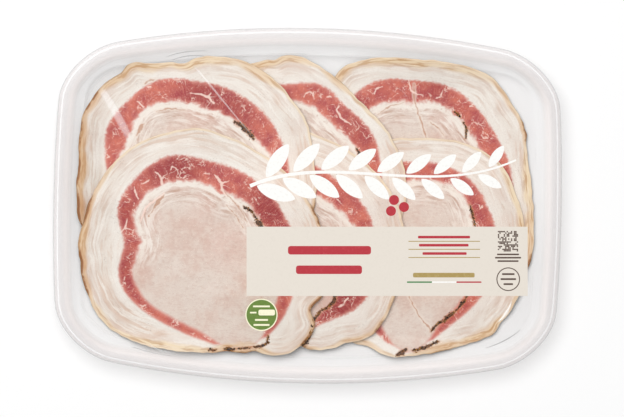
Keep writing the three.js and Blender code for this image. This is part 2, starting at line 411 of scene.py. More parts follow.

# %% Painted highlight and shade lines in the plastic
SEAL_LINE = 2.1  # millimetres inward from the tray's edge
WALL_TOP = 8.4
WALL_FOOT = 12.6
FOOT_SHADE = WALL_FOOT + 0.8
LINE_WIDTH = 0.5
plastic = Recipe("clear_tray_plastic")
inward_at = plastic.attribute("inward").outputs["Fac"]


def line_at(place):
    """A soft line round the tray, so many millimetres in from its edge."""
    off = plastic.math("ABSOLUTE", plastic.minus(inward_at, place))
    return plastic.step(off, LINE_WIDTH, LINE_WIDTH * 0.3)


come_and_go = plastic.step(plastic.clouds(28, detail=2, shift=0.5), 0.4, 0.6)
foot_highlight_line = plastic.times(line_at(WALL_FOOT), come_and_go)
foot_shade_line = plastic.times(line_at(FOOT_SHADE), come_and_go)
painted_highlight_lines = plastic.total((line_at(SEAL_LINE), 1), (line_at(WALL_TOP), 0.3), (foot_highlight_line, 1))
painted_shade_lines = plastic.total((plastic.step(inward_at, 0.7, 0.2), 1), (foot_shade_line, 0.5))
plastic.tally("lines")

# %% Tray plastic
haze = plastic.clouds(30, detail=3)
flange = plastic.step(inward_at, 9.5, 6.5)
outer_flange = plastic.step(inward_at, 6.5, 4.0)
# Inside the flange the plastic is tinted pink, a painted warm reflection of the meat; the outer flange
# keeps a plain greyer tone
plastic_tone_and_painted_light = plastic.mix(outer_flange, tone("f9e8e2"), tone("ddd4d3"))
# Painted highlights in white and painted shade in grey, laid along the lines
plastic_tone_and_painted_light = plastic.lay(plastic_tone_and_painted_light, (painted_shade_lines, 1, "c2c2c2"), (painted_highlight_lines, 1, "ffffff"))
plastic.set(Base_Color=plastic_tone_and_painted_light, Roughness=0.3, IOR=1.5, Specular_IOR_Level=0.35)
plastic.bump(plastic.clouds(14, detail=1), 0.15, 0.4)
flange_shares = ((flange, 0.12), (outer_flange, 0.1))
# The painted highlight and shade lines also make the plastic a little less see-through there
painted_line_shares = ((painted_highlight_lines, 0.08), (painted_shade_lines, 0.06))
plastic.see_through(plastic.total((haze, 0.02), *flange_shares, *painted_line_shares, start=0.02))
finish_piece(tray, "clear_tray", plastic.material, ["tray"])

# %% [markdown]
# ## The slices: feeling out the shape
#
# Each slice is three nodes, because fat, lean and loin run right through it, but the real slice is
# one thin sheet of meat. To model it as one, the script feels out the three nodes from above: along
# each of many spokes it drops rays and notes where loin, lean and fat end, and how high they lie.

# %% Spokes
SPOKES = 320
RINGS = 80
REACH = 95 * MM  # farther than any slice reaches from its middle
STRIDE = 0.4 * MM
SEAM = 0.15 * MM  # half of the gap between two layers' nodes
LAYERS = ("loin", "lean", "fat")
DOWN = Vector((0, 0, -1))
angles = np.arange(SPOKES) * 2 * math.pi / SPOKES
spokes_out = np.stack([np.cos(angles), np.sin(angles)], axis=1)
radii = np.arange(1, int(REACH / STRIDE)) * STRIDE
print(f"{SPOKES} spokes with {len(radii)} rays each")


# %% Feel out a slice
def tree_of(*things):
    """What rays are cast against, and how many faces come before each object's own."""
    points, faces, firsts = [], [], []
    for thing in things:
        offset = len(points)
        firsts.append(len(faces))
        points += [v.co for v in thing.data.vertices]
        faces += [[offset + i for i in p.vertices] for p in thing.data.polygons]
    return BVHTree.FromPolygons(points, faces), firsts


def running_mean(values, width):
    """A mean round the slice, over width spokes to each side."""
    return np.mean([np.roll(values, k, axis=0) for k in range(-width, width + 1)], axis=0)


def feel_out(name):
    """The middle of a slice, the reach of each layer along each spoke, and the heights there."""
    tree, firsts = tree_of(*[nodes[f"{name}_{layer}"] for layer in LAYERS])
    low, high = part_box(f"{name}_loin")
    middle = np.array([(low.x + high.x) / 2, (low.y + high.y) / 2])
    reach = np.zeros((SPOKES, len(LAYERS)))
    heights = np.full((SPOKES, len(radii)), np.nan)
    for spoke, out in enumerate(spokes_out):
        for k, radius in enumerate(radii):
            hit, _, face, _ = tree.ray_cast(Vector((*(middle + out * radius), RIM)), DOWN)
            if hit is not None:
                layer = np.searchsorted(firsts, face, side="right") - 1
                heights[spoke, k] = hit.z
                reach[spoke, layer] = radius + SEAM
        there = ~np.isnan(heights[spoke])
        heights[spoke] = np.interp(radii, radii[there], heights[spoke, there])
    reach = np.maximum.accumulate(reach, axis=1)
    return middle, running_mean(reach, 2), running_mean(heights, 2)


# %% [markdown]
# ## The slices: their outline
#
# A real slice ends in a wavy rind with notches and bulges. Its outline starts from the farthest
# reach of its fat, gets small waves of noise, and is then pressed in or drawn out at the places
# where the photograph shows it.

# %% Notches and bulges
# The slice's number, the place in the photograph, and depth and width in mm. A negative depth is
# a bulge.
NOTCHES = (
    (5, (121, 73), 0.5, 2.5),
    (5, (134, 67), -3.0, 6.0),
    (5, (184, 62), 2.6, 5.0),
    (5, (213, 57), -1.2, 9.0),
    (5, (78, 150), -0.6, 12.0),
    (5, (76, 190), -0.7, 12.0),
    (3, (276, 61), 1.2, 2.5),
    (3, (298, 58), -1.9, 9.0),
    (1, (343, 73), -2.6, 8.0),
    (1, (508, 95), 1.3, 10.0),
    (1, (527, 135), -0.6, 2.5),
    (1, (533, 232), 1.2, 24.0),
    (2, (489, 334), -1.6, 8.0),
    (2, (500, 320), 0.8, 3.0),
    (2, (432, 350), -1.4, 28.0),
    (2, (391, 353), -1.6, 7.0),
    (4, (345, 343), 1.6, 4.0),
    (4, (322, 349), -0.6, 8.0),
    (6, (84, 262), 1.1, 3.0),
    (6, (79, 240), -0.8, 8.0),
    (6, (106, 322), -0.7, 12.0),
    (6, (195, 351), -1.0, 32.0),
    (6, (272, 353), -2.0, 13.0),
    (6, (318, 309), 3.2, 5.0),
    (6, (315, 314), 3.2, 4.0),
)
print("notches and bulges:", len(NOTCHES))

# %% Outline of a slice
MOUTH = 6  # spokes to each side over which a narrow notch in the nodes' edge is filled
RIND = 0.45 * MM  # how far the soft rind stands out from the node
WAVE = 1.1 * MM  # height of the rind's waves
WAVES = ((5, 0.6), (15, 0.4))  # how fast they follow each other, and their share of the height
OWN_NOISE = 300  # takes each slice to a part of the noise of its own


def fill_notches(ring, width):
    """Widens the ring and narrows it again, which leaves only the narrow notches filled."""
    turns = range(-width, width + 1)
    wide = np.max([np.roll(ring, k) for k in turns], axis=0)
    return np.min([np.roll(wide, k) for k in turns], axis=0)


def edge_of(name, middle, reach):
    """The slice's outline: the outermost layer's reach, with the small waves of a real rind."""
    swell = 0
    for own, (pace, share) in zip(middle * OWN_NOISE, WAVES):
        swell += share * np.array([noise.noise(Vector((*(out * pace), own))) for out in spokes_out])
    ring = running_mean(fill_notches(reach[:, 2], MOUTH), 2)
    ring = ring + RIND + WAVE * swell
    for owner, pixel, depth, width in NOTCHES:
        if name == f"slice_{owner}":
            line = middle + spokes_out * ring[:, None]
            away = np.hypot(*(line - on_pack(*pixel)).T) / MM
            ring = ring - depth * MM * np.exp(-((away / width) ** 2))
    return ring


# %% [markdown]
# ## The slices: one sheet each
#
# A flat grid is the start. Its columns are bent round to become the spokes and its rows become the
# rings, which makes a disc whose mesh runs with the layers. The disc is dropped onto the heights
# that were felt out, given its thickness by Solidify, and its cut edge is rounded by Bevel. The
# slices are made from the lowest to the highest. Where a soft rim reaches the tray's wall or the
# rim of a slice under it, it rests on that and slopes down from there.

# %% Rest on what lies below
THICK = 1.3 * MM
REST = 0.05 * MM  # least gap between a slice and what lies under it
SOFTEN = 7  # spokes and rings over which a raised rim slopes down


def blend_near(values, blend):
    """Blends each value with those around it, up to SOFTEN spokes and rings away."""
    turns = range(-SOFTEN, SOFTEN + 1)
    values = blend([np.roll(values, k, axis=0) for k in turns], axis=0)
    wide = np.pad(values, ((0, 0), (SOFTEN, SOFTEN)), mode="edge")
    return blend([wide[:, k : k + values.shape[1]] for k in range(len(turns))], axis=0)


def raise_over(below, x, y, z):
    """Lifts a slice softly where something under it, such as the tray's wall, stands in its way."""
    lift = np.zeros_like(z)
    for spot in np.ndindex(z.shape):
        under = below.ray_cast(Vector((x[spot], y[spot], RIM)), DOWN)[0]
        if under is not None:
            lift[spot] = max(0, under.z + THICK + REST - z[spot])
    return z + blend_near(blend_near(lift, np.max), np.mean)


# %% Bend a grid into a slice
LIFT = 0.05 * MM  # how far the sheet's top lies under the node's
RIPPLE = 0.12 * MM  # height of the unevenness of the cut face
RIPPLE_SIZE = 5 * MM
ROUNDING = 0.3 * MM  # radius of the cut edge
EDGE = math.radians(60)  # faces that meet more sharply are bevelled
SMOOTH = math.radians(40)  # faces that meet less sharply are shaded smooth


def bend_grid(x, y, z):
    """A grid whose columns are the spokes and whose rows are the rings, moved to these places."""
    bpy.ops.mesh.primitive_grid_add(x_subdivisions=SPOKES, y_subdivisions=RINGS, size=1)
    sheet = bpy.context.object
    flat = np.array([v.co[:2] for v in sheet.data.vertices]) + 0.5
    spoke = -np.round(flat[:, 0] * SPOKES).astype(int) % SPOKES
    ring = np.round(flat[:, 1] * RINGS).astype(int)
    sheet.data.vertices.foreach_set("co", np.stack([x, y, z], axis=2)[spoke, ring].ravel())
    in_edit_mode(sheet, merge_doubles)
    return sheet


def thicken(sheet):
    """Gives a sheet its thickness, its underside straight under its top, and rounds its edge."""
    apply_modifier(sheet, "SOLIDIFY", thickness=THICK, offset=-1)
    corners = np.array([v.co for v in sheet.data.vertices])
    half = len(corners) // 2
    corners[half:] = corners[:half] - (0, 0, THICK)
    sheet.data.vertices.foreach_set("co", corners.ravel())
    sheet.data.update()
    apply_modifier(sheet, "BEVEL", width=ROUNDING, segments=2, limit_method="ANGLE", angle_limit=EDGE)
    only(sheet)
    bpy.ops.object.shade_smooth_by_angle(angle=SMOOTH)


def make_sheet(name, below):
    """A slice's sheet in its place, with its middle and the reach of its layers."""
    middle, reach, heights = feel_out(name)
    edge = edge_of(name, middle, reach)
    reach[:, 2] = edge
    reach = np.minimum(reach, edge[:, None])
    radius = edge[:, None] * np.linspace(0, 1, RINGS + 1)
    x = middle[0] + radius * np.cos(angles)[:, None]
    y = middle[1] + radius * np.sin(angles)[:, None]
    z = np.array([np.interp(r, radii, h) for r, h in zip(radius, heights)]) - LIFT
    for spot in np.ndindex(z.shape):
        z[spot] += RIPPLE * noise.noise(Vector((x[spot], y[spot], middle[0])) / RIPPLE_SIZE)
    sheet = bend_grid(x, y, raise_over(below, x, y, z))
    thicken(sheet)
    return sheet, middle, reach


# %% [markdown]
# ## The slices: where each layer is
#
# The paint has to know how far a point is from each border. That is worked out once for every
# vertex and kept on the mesh as an attribute: `borders` holds the distances in millimetres, outward
# from the loin's edge, outward from the lean's edge, and inward from the rind. `heading` points
# away from the slice's middle, so that fibres and streaks can run across or along the roll.

# %% Mark the layers
def round_trip(values, angle):
    """Reads values, given one for each spoke, at any angle."""
    step = (angle / (2 * math.pi) % 1) * SPOKES
    return np.interp(step, np.arange(SPOKES + 1), np.append(values, values[0]))


def distance_to_ring(points, middle, ring):
    """How far each point is from a closed line, positive outside it, in millimetres."""
    line = middle + spokes_out * ring[:, None]
    gap = gap_to(points, np.vstack([line, line[:1]]))
    from_middle = points - middle
    angle = np.arctan2(from_middle[:, 1], from_middle[:, 0])
    outside = np.hypot(*from_middle.T) > round_trip(ring, angle)
    return np.where(outside, gap, -gap)


def mark_layers(mesh, points, middle, reach):
    borders = [distance_to_ring(points, middle, reach[:, layer]) for layer in range(3)]
    borders[2] = -borders[2]
    put_attribute(mesh, "borders", "FLOAT_VECTOR", np.stack(borders, axis=1))
    out = points - middle
    out /= np.maximum(np.hypot(*out.T), 1e-6)[:, None]
    put_attribute(mesh, "heading", "FLOAT_VECTOR", np.pad(out, ((0, 0), (0, 1))))


# %% [markdown]
# The oven browned the rind in some places more than in others, the meat is redder in some than in
# others, and each slice has seams, veins and trails of crushed herbs of its own. They are listed by
# the place where the photograph shows them. The attribute `baked` keeps how brown, golden and red
# the meat is. Each kind of line has an attribute of its own: how far a point is to the side of the
# nearest line, how far past its end, and half of the line's width there. Side and end are kept apart
# because then even a line thinner than the mesh stays whole.

# %% Mark what the oven left
# Place in the photograph, size in millimetres, how brown the rind is, and how golden the fat is
BAKED = (
    ((90, 100), 10, 0.9, 0.7),
    ((79, 135), 12, 0.8, 0.9),
    ((77, 170), 14, 0.9, 1.0),
    ((77, 208), 10, 1.3, 1.0),
    ((118, 76), 14, 0.6, 0.7),
    ((145, 64), 14, 0.3, 0.9),
    ((205, 58), 20, 0.2, 0.9),
    ((258, 68), 13, 0.4, 0.9),
    ((80, 240), 12, 0.6, 0.9),
    ((82, 262), 8, 1.2, 0.6),
    ((84, 284), 8, 1.0, 0.6),
    ((102, 316), 10, 0.2, 0.5),
    ((165, 342), 24, 0.0, 0.7),
    ((238, 349), 15, 0.7, 0.9),
    ((318, 215), 9, 0.8, 0.2),
    ((312, 300), 9, 0.9, 0.3),
    ((306, 325), 8, 0.8, 0.4),
    ((378, 328), 8, 0.7, 0.3),
    ((308, 340), 6, 1.0, 0.3),
    ((290, 59), 11, 0.3, 0.7),
    ((343, 76), 9, 0.5, 0.8),
    ((400, 59), 26, 0.2, 0.9),
    ((462, 68), 18, 0.1, 0.8),
    ((507, 98), 13, 0.4, 0.3),
    ((525, 130), 8, 0.8, 0.3),
    ((532, 185), 15, 0.0, 0.9),
    ((533, 232), 13, 0.3, 1.0),
    ((527, 268), 10, 0.9, 0.9),
    ((508, 300), 8, 0.4, 0.4),
    ((486, 338), 14, 0.5, 1.0),
    ((440, 344), 12, 0.7, 0.8),
    ((358, 343), 14, 0.4, 0.4),
    ((392, 300), 9, 0.6, 0.2),
)
# Place in the photograph, size in millimetres, and how much redder the meat is
BLUSHES = (
    ((178, 164), 11, 1.0),
    ((160, 172), 9, 0.7),
    ((128, 212), 12, 0.5),
    ((124, 262), 12, 0.6),
    ((208, 98), 12, 0.9),
    ((234, 110), 10, 0.7),
    ((98, 128), 8, 0.5),
    ((272, 205), 14, 1.0),
    ((360, 125), 12, 0.5),
    ((437, 92), 8, 0.5),
    ((340, 303), 12, 1.0),
    ((520, 185), 10, 0.7),
    ((228, 246), 11, 0.7),
    ((200, 215), 9, 0.4),
    ((448, 120), 9, 0.5),
)
FADE_END = 1.4  # of a spot's size, where it has faded out; 1 less is where it begins to fade


def baked_at(points):
    """How brown the rind, how golden the fat and how red the meat is at each point."""
    baked = np.zeros((len(points), 3))
    spots = [(pixel, size, (brown, gold, 0)) for pixel, size, brown, gold in BAKED]
    spots += [(pixel, size, (0, 0, red)) for pixel, size, red in BLUSHES]
    for pixel, size, shares in spots:
        away = np.hypot(*(points - on_pack(*pixel)).T) / MM
        near = np.clip(FADE_END - away / size, 0, 1)
        baked = np.maximum(baked, near[:, None] * shares)
    return baked


print("browned places:", len(BAKED), "and red ones:", len(BLUSHES))

# %% Mark seams, veins and herbs
# The slice's number, then the line's points: place in the photograph, and width there in mm
SEAMS = (
    (1, (414, 84, 0.2), (415, 102, 0.4), (421, 120, 0.5), (429, 145, 0.3)),
    (1, (378, 114, 0.1), (390, 106, 0.3), (404, 102, 0.1)),
    (1, (430, 122, 0.1), (438, 127, 0.3), (444, 135, 0.1)),
    (2, (409, 297, 0.3), (420, 317, 0.3), (432, 331, 0.5)),
    (6, (222, 190, 0.1), (238, 206, 0.4), (247, 222, 0.2)),
    (6, (226, 205, 0.1), (236, 216, 0.3), (243, 228, 0.1)),
    (6, (148, 217, 0.1), (153, 209, 0.3), (156, 205, 1.4), (158, 201, 1.8), (164, 195, 0.1)),
    (5, (136, 136, 0.1), (138.5, 131, 1.2), (140.5, 127, 1.8), (144, 123, 0.1)),
    (5, (156, 112, 0.2), (168, 108, 0.5), (185, 110, 0.1)),
    (5, (144, 83, 0.1), (150, 80, 0.5), (155, 79, 0.1)),
    (6, (232, 349, 0.2), (246, 348, 0.6), (262, 346, 0.4)),
)
VEINS = (
    (5, (190, 93, 0.2), (200, 94, 0.6), (208, 97, 0.8), (214, 103, 0.5)),
    (5, (208, 97, 0.6), (211, 92, 0.1)),
    (5, (147, 86, 0.2), (149, 87, 0.9), (151, 86, 0.2)),
    (5, (137, 101, 0.2), (140, 104, 0.7), (143, 107, 0.5)),
    (6, (214, 175, 0.3), (218, 178, 0.9), (221, 183, 0.9), (222, 190, 0.8), (226, 196, 0.3)),
    (6, (221, 183, 0.6), (229, 181, 0.2)),
    (6, (204, 173, 0.2), (209, 174, 0.4)),
    (6, (155, 172, 0.3), (158, 174, 0.6), (161, 178, 0.8), (162, 184, 1.2)),
    (6, (161, 177, 0.5), (167, 174, 0.2)),
    (6, (170, 170, 0.2), (172, 166, 0.4), (176, 168, 0.3), (178, 174, 0.1)),
    (6, (141, 184, 0.2), (146, 182, 0.5), (149, 180, 0.2)),
    (6, (134, 187, 0.2), (135, 193, 0.6), (138, 199, 0.2)),
    (6, (127, 219, 0.3), (125, 228, 0.6), (121, 232, 0.2)),
    (6, (125, 228, 0.5), (134, 231, 0.2)),
    (6, (140, 222, 0.4), (146, 207, 0.9), (164, 193, 0.4)),
    (1, (374, 94, 0.2), (377, 88, 0.6), (383, 86, 0.3)),
    (1, (409, 80, 0.3), (411, 90, 0.6), (417, 94, 0.5), (424, 95, 0.2)),
    (1, (436, 98, 0.2), (441, 97, 0.5), (443, 90, 0.2)),
    (3, (339, 106, 0.3), (336.5, 110, 0.8), (341, 117, 0.7), (345, 121, 0.6), (351, 124, 0.4)),
    (3, (304, 97, 0.2), (306, 93, 0.6), (310, 91.5, 0.4), (313, 94, 0.5), (314, 99, 0.2)),
    (3, (327, 97, 0.2), (330, 96, 0.5), (332, 97, 0.2)),
    (4, (338, 307, 0.2), (341, 306, 0.9), (344, 305, 0.2)),
    (4, (344, 303, 0.3), (348, 298, 0.5)),
)
HERBS = (
    (5, (234.5, 121.5, 0.6), (240, 124.5, 1.4), (245, 129, 1.9), (253, 138, 1.2)),
    (6, (244, 207, 0.4), (249, 209.5, 0.9), (253, 213, 0.4), (256, 219, 0.6)),
    (6, (256, 219, 0.8), (259, 223, 1.8), (262, 227, 1.5)),
    (2, (468, 295, 0.5), (463, 303, 0.5), (459, 309, 0.4), (452, 314, 0.5)),
    (2, (452, 314, 1.2), (447, 318, 1.5), (445, 321, 0.8), (439, 323, 0.8), (432, 331, 0.6)),
    (2, (470, 205, 0.4), (473, 214, 0.6), (475, 226, 0.5)),
    (4, (335, 296, 1.0), (334, 302, 1.3), (328, 307, 0.7), (321, 311, 0.6), (314, 320, 0.9)),
    (4, (313, 326, 0.4), (310, 334, 0.9), (306, 342, 1.8), (303, 345, 1.0)),
    (1, (455, 112, 0.2), (458, 114, 0.5), (461, 117, 0.2)),
    (1, (464, 122, 0.1), (467, 129, 0.5), (466, 138, 0.2)),
    (3, (357, 149, 0.6), (361, 156, 0.9)),
    (6, (209, 350, 0.3), (213, 350, 1.2), (216, 350, 0.3)),
    (6, (224, 349, 0.5), (229, 349.5, 1.8), (234, 350, 0.5)),
    (6, (238, 349, 0.2), (243, 348.5, 0.7), (250, 348.5, 0.3)),
    (6, (254, 347.5, 0.3), (262, 346.5, 1.0), (267, 343, 0.8), (268.5, 336, 0.3)),
    (2, (398, 355, 1.2), (402, 353, 2.0), (406, 350, 0.8)),
    (2, (414, 351, 0.8), (425, 348, 1.4), (431, 345, 0.6), (438, 342, 0.8)),
)
LINES = {"seams": SEAMS, "veins": VEINS, "herbs": HERBS}
FAR = 99.0  # millimetres, for a slice that has none


def trace(name, points, lines):
    """Each point's way to the side of the nearest line and past its end, and its half width."""
    nearest = np.full(len(points), np.inf)
    traced = np.full((len(points), 3), (FAR, FAR, 0.0))
    for owner, *pixels in lines:
        if name != f"slice_{owner}":
            continue
        line = np.array([on_pack(x, y) for x, y, _ in pixels]) / MM
        halves = [width / 2 for _, _, width in pixels]
        for k, (start, end) in enumerate(zip(line[:-1], line[1:])):
            way = end - start
            length = math.hypot(*way)
            along = (points / MM - start) @ way / length
            side = (points / MM - start) @ (-way[1], way[0]) / length
            past = np.maximum(0, np.maximum(-along, along - length))
            half = np.interp(along, (0, length), halves[k : k + 2])
            gap = np.hypot(side, past) - half
            closer = gap < nearest
            nearest[closer] = gap[closer]
            traced[closer] = np.stack([side, past, half], axis=1)[closer]
    return traced


print("lines:", {kind: len(lines) for kind, lines in LINES.items()})

# %% Make the six slices
SLICES = sorted({name.rsplit("_", 1)[0] for name in nodes if name.startswith("slice_")})
sheets = {}
for slice_name in SLICES:
    below, _ = tree_of(tray, *sheets.values())
    sheet, middle, reach = make_sheet(slice_name, below)
    points = np.array([v.co[:2] for v in sheet.data.vertices])
    mark_layers(sheet.data, points, middle, reach)
    put_attribute(sheet.data, "baked", "FLOAT_VECTOR", baked_at(points))
    for kind, lines in LINES.items():
        put_attribute(sheet.data, kind, "FLOAT_VECTOR", trace(slice_name, points, lines))
    sheets[slice_name] = sheet
    print(slice_name, "reaches", round(float(reach[:, 2].max()) * 1000, 1), "mm from its middle")

# %% [markdown]
# ## Meat
#
# One recipe paints all six slices, as they are cut from one roll. It makes the fat, the lean and
# the loin on their own, and then lays them beside each other. In real meat no border is clean, so
# noise shifts the distances that the mesh carries to and fro before they are used.

# %% Distances and directions
meat = Recipe("sliced_porchetta")
ROLL = 50 * MM  # about the roll's radius


def three_of(name):
    """The three numbers that an attribute keeps."""
    kept = meat.attribute(name).outputs["Vector"]
    return meat.node("ShaderNodeSeparateXYZ", {0: kept}).outputs


from_loin, from_lean, to_rind = three_of("borders")
browned, gilded, redder = three_of("baked")
heading = meat.attribute("heading").outputs["Vector"]
upward = meat.node("ShaderNodeSeparateXYZ", {0: heading}).outputs[1]


def centred(pattern, reach):
    """A pattern as a shift of up to half of reach to each side."""
    return meat.times(meat.minus(pattern, 0.5), reach)


def on_roll(depth, along=1, across=1):
    """Coordinates that draw a pattern out round the roll, or from its middle to its rind."""
    round_part = meat.vector("MULTIPLY", heading, (ROLL / along,) * 3)
    deep_part = meat.node("ShaderNodeCombineXYZ", {2: meat.times(depth, MM / across)})
    return meat.vector("ADD", round_part, deep_part.outputs[0])


meat.tally("distances")

# %% Borders
ragged = meat.clouds(4.5, detail=5, roughness=0.55, twist=0.3)
scallops = meat.clouds(1.6, detail=3, roughness=0.6, shift=0.2)
lean_width = meat.minus(from_loin, from_lean)
width_squared = meat.math("POWER", meat.math("MAXIMUM", lean_width, 0.0), 2.0)
loin_shift = meat.math("MINIMUM", 6.5, meat.times(width_squared, 0.08))
lean_shift = meat.math("MINIMUM", 2.6, meat.times(width_squared, 0.035))
narrow_strip = meat.times(meat.step(lean_width, 0.5, 3.2), meat.step(lean_width, 7.5, 5.0))
widened = meat.times(narrow_strip, 0.8)
past_loin = meat.plus(meat.plus(from_loin, widened), centred(ragged, loin_shift))
past_lean = meat.plus(meat.minus(from_lean, widened), centred(scallops, lean_shift))
meat.tally("borders")

# %% [markdown]
# The fat lies in layers round the roll. Noise that is drawn out round the roll gives them: broad
# dull bands, thin brown ones and white ones, with the whitest fat beside the lean.

# %% Fat
grain = meat.clouds(0.6, detail=2, roughness=0.7)
patches = meat.clouds(10, detail=4, shift=0.4)
broad_bands = meat.clouds(3.2, on_roll(to_rind, along=8), detail=4, roughness=0.6, twist=0.6)
thin_bands = meat.clouds(1.1, on_roll(to_rind, along=8), detail=3, shift=0.3, twist=0.5)
white_bands = meat.clouds(2.2, on_roll(to_rind, along=9), detail=4, shift=0.7, twist=0.5)
near_lean = meat.plus(from_lean, centred(broad_bands, 6.0))
dots = meat.step(meat.cells(1.0), 0.24, 0.12)
dotted = meat.times(dots, meat.step(meat.clouds(7, detail=2, shift=0.9), 0.55, 0.66))
fat = meat.lay(
    meat.two_tone(patches, 0.38, 0.62, "dfd6cc", "d8cabf"),
    (meat.step(broad_bands, 0.48, 0.66), 0.6, "ceb09b"),
    (meat.step(thin_bands, 0.5, 0.68), 0.36, "bb977d"),
    (meat.step(white_bands, 0.5, 0.65), 0.7, "ebe5dd"),
    (meat.step(near_lean, 7.0, 2.5), 0.6, "e6e0d8"),
    (meat.step(grain, 0.46, 0.72), 0.3, "bfac9f"),
    (dotted, 0.6, "8b7d72"),
)
meat.tally("fat")

# %% [markdown]
# The lean is red muscle in fine fibres that run outward, paler at its rims, with crowds of tiny
# flecks of fat and a few long white threads.

# %% Lean
fibres = meat.clouds(0.7, on_roll(to_rind, across=4), detail=3, roughness=0.6)
blotches = meat.clouds(7, detail=4, roughness=0.55)
pale_rims = meat.math("MINIMUM", past_loin, meat.times(past_lean, -1))
crowded = meat.step(meat.clouds(4, detail=3, shift=0.1), 0.42, 0.58)
crowded = meat.times(crowded, meat.step(pale_rims, 0.6, 2.4))
flecks = meat.threads(1.1, 0.05, detail=2, twist=0.6, shift=0.1)
flecks = meat.times(flecks, meat.step(meat.clouds(0.9, detail=2, shift=0.6), 0.48, 0.6))
threads = meat.threads(5, 0.02, detail=4, twist=0.8, shift=0.25)
threads = meat.times(threads, meat.step(meat.clouds(6, detail=2, shift=0.5), 0.5, 0.58))
lean = meat.lay(
    meat.two_tone(blotches, 0.3, 0.7, "c96955", "a53c3f"),
    (redder, 0.9, "8f2026"),
    (meat.step(fibres, 0.45, 0.72), 0.5, "cc7867"),
    (meat.step(grain, 0.5, 0.7), 0.4, "8a2a2a"),
    (meat.step(pale_rims, 2.2, 0.0), 0.55, "d79485"),
    (meat.times(flecks, crowded), 0.7, "e6b8a9"),
    (threads, 0.8, "ebcdbf"),
)
meat.tally("lean")

# %% [markdown]
# The loin is pale, pink in soft patches and finely grained. In its upper half thin strands follow
# its border, and a cap of white fat lies under the lean.

# %% Loin
pink = meat.clouds(13, detail=4, roughness=0.6)
mottled = meat.clouds(2.5, detail=4, roughness=0.65, twist=0.5)
stretched = meat.vector("MULTIPLY", meat.place, (0.45, 1.0, 1.0))
long_grain = meat.clouds(0.8, stretched, detail=4, twist=0.8)
upper = meat.step(upward, -0.25, 0.35)
strands = meat.clouds(1.4, on_roll(from_loin, along=9), detail=4, roughness=0.6, twist=0.5)
strand_zone = meat.times(meat.step(from_loin, -15, -5), upper)
under_lean = meat.plus(from_loin, centred(ragged, 5.0))
cap = meat.times(meat.step(under_lean, -4.4, -2.2), upper)
loin = meat.lay(
    meat.two_tone(pink, 0.4, 0.66, "d8c9be", "cfb5a8"),
    (redder, 0.6, "cf9f90"),
    (meat.step(mottled, 0.42, 0.66), 0.4, "dfd1c5"),
    (meat.step(mottled, 0.42, 0.25), 0.3, "c2a293"),
    (meat.step(long_grain, 0.5, 0.66), 0.3, "bf9f90"),
    (meat.step(grain, 0.46, 0.72), 0.25, "bea396"),
    (meat.times(meat.step(strands, 0.5, 0.6), strand_zone), 0.75, "eae1d8"),
    (meat.times(meat.step(strands, 0.46, 0.36), strand_zone), 0.6, "b28a74"),
    (meat.times(cap, meat.step(mottled, 0.25, 0.5)), 0.85, "e8dfd5"),
)
meat.tally("loin")

# %% Lay them together
colour = meat.mix(meat.step(past_loin, -1.2, 1.0), loin, lean)
colour = meat.mix(meat.step(past_lean, -0.8, 0.8), colour, fat)
meat.tally("all three")

# %% [markdown]
# The rind is the roast's skin. The oven left a golden zone in the fat under it, a tan edge and brown
# spots where it was hottest. Along the cut edge a thin pale line is a painted highlight, which turns
# to the rind's brown where the rind is browned.

# %% Golden zone
gold_depth = meat.plus(1.4, meat.times(gilded, 4.6))
into_gold = meat.plus(meat.math("DIVIDE", to_rind, gold_depth), centred(broad_bands, 1.0))
gold = meat.two_tone(thin_bands, 0.44, 0.56, "e4cfaa", "bb9160")
gold = meat.lay(gold, (meat.step(white_bands, 0.5, 0.62), 0.6, "e6d3b8"))
gold = meat.mix(gilded, meat.mix(0.5, gold, tone("dccbb6")), gold)
gold = meat.lay(gold, (browned, 0.6, "c2874c"))
colour = meat.mix(meat.times(meat.step(into_gold, 1.05, 0.45), 0.86), colour, gold)
meat.tally("golden zone")

# %% Rind
uneven = meat.clouds(5, detail=4, roughness=0.6, shift=0.7)
rind_colour = meat.two_tone(uneven, 0.4, 0.62, "c7a070", "a67a48")
rind_depth = meat.plus(0.4, centred(uneven, 0.9))
at_rind = meat.step(meat.minus(to_rind, rind_depth), 0.3, -0.2)
rind_share = meat.math("MINIMUM", 0.85, meat.plus(0.2, meat.times(browned, 0.7)))
colour = meat.mix(meat.times(at_rind, rind_share), colour, rind_colour)
browning = meat.plus(browned, centred(meat.clouds(2.2, detail=3, shift=0.35), 1.6))
brown_depth = meat.plus(0.2, meat.times(browned, 0.9))
in_brown = meat.step(meat.minus(to_rind, brown_depth), 0.4, -0.3)
colour = meat.lay(colour, (meat.times(in_brown, meat.step(browning, 0.58, 0.98)), 0.85, "824717"))
# A painted highlight along the cut edge: pale cream, turning to brown where the rind is browned
rind_edge_and_highlight_colour = meat.two_tone(browned, 0.2, 0.8, "f0dfc6", "8f6636")
rind_edge_and_highlight_share = meat.plus(0.5, meat.times(browned, 0.15))
colour = meat.mix(meat.times(meat.step(to_rind, 0.75, 0.3), rind_edge_and_highlight_share), colour, rind_edge_and_highlight_colour)
meat.tally("rind")

# %% [markdown]
# Seams between muscles, white veins and the trails of herbs were traced as lines. The paint makes
# them wavy and uneven by noise, and gives the herbs a brown stain around them.

# %% Seams, veins and herbs
waves = meat.clouds(2.2, detail=3, roughness=0.6, shift=0.15)


def from_line(kind, unevenness, wander):
    """The distance from the edge of the nearest line of a kind, made uneven and wavy by noise."""
    side, past, half = three_of(kind)
    side = meat.plus(side, centred(waves, wander))
    flat = meat.node("ShaderNodeCombineXYZ", {0: side, 1: past}).outputs[0]
    gap = meat.node("ShaderNodeVectorMath", {0: flat}, operation="LENGTH").outputs["Value"]
    return meat.plus(meat.minus(gap, half), centred(scallops, unevenness))


